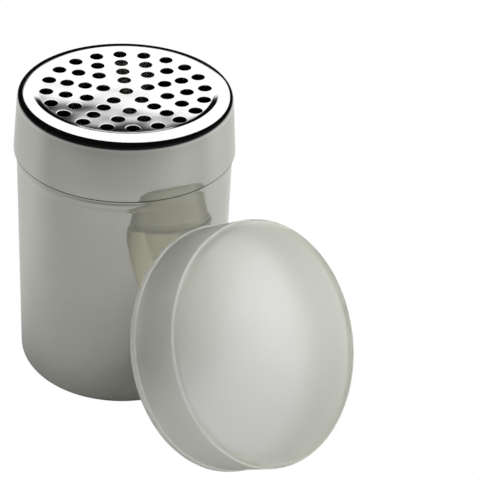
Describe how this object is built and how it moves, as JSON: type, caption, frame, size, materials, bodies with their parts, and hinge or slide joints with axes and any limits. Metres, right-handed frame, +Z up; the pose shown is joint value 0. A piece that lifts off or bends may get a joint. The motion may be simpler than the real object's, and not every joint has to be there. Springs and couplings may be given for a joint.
{
  "type": "spice shaker",
  "caption": "Round sheet-steel spice shaker with a slip-on perforated lid and a frosted plastic cover cap leaning against it.",
  "frame": {"origin": "centre of the body's base, on the table", "axes": "+Z up along the body's axis; the cap leans in front and to the right, towards -Y and +X"},
  "size_m": [0.1075, 0.1217, 0.0979],
  "materials": {
    "body_steel": "satin stainless sheet, fine even grain",
    "lid_steel": "satin side wall, polished top",
    "cap_plastic": "frosted translucent polypropylene"
  },
  "bodies": {
    "body": {"shaker_body": "body_steel"},
    "lid": {"perforated_lid": "lid_steel"},
    "cap": {"cover_cap": "cap_plastic"}
  },
  "joints": [
    {"name": "lid_pull_off", "type": "slide", "parent": "body", "child": "lid", "axis": [0, 0, 1], "range_m": [0, 0.04]},
    {"name": "cap_pick_up", "type": "slide", "parent": "body", "child": "cap", "axis": [0.6067, -0.5859, 0.5373], "range_m": [0, 0.06]}
  ]
}
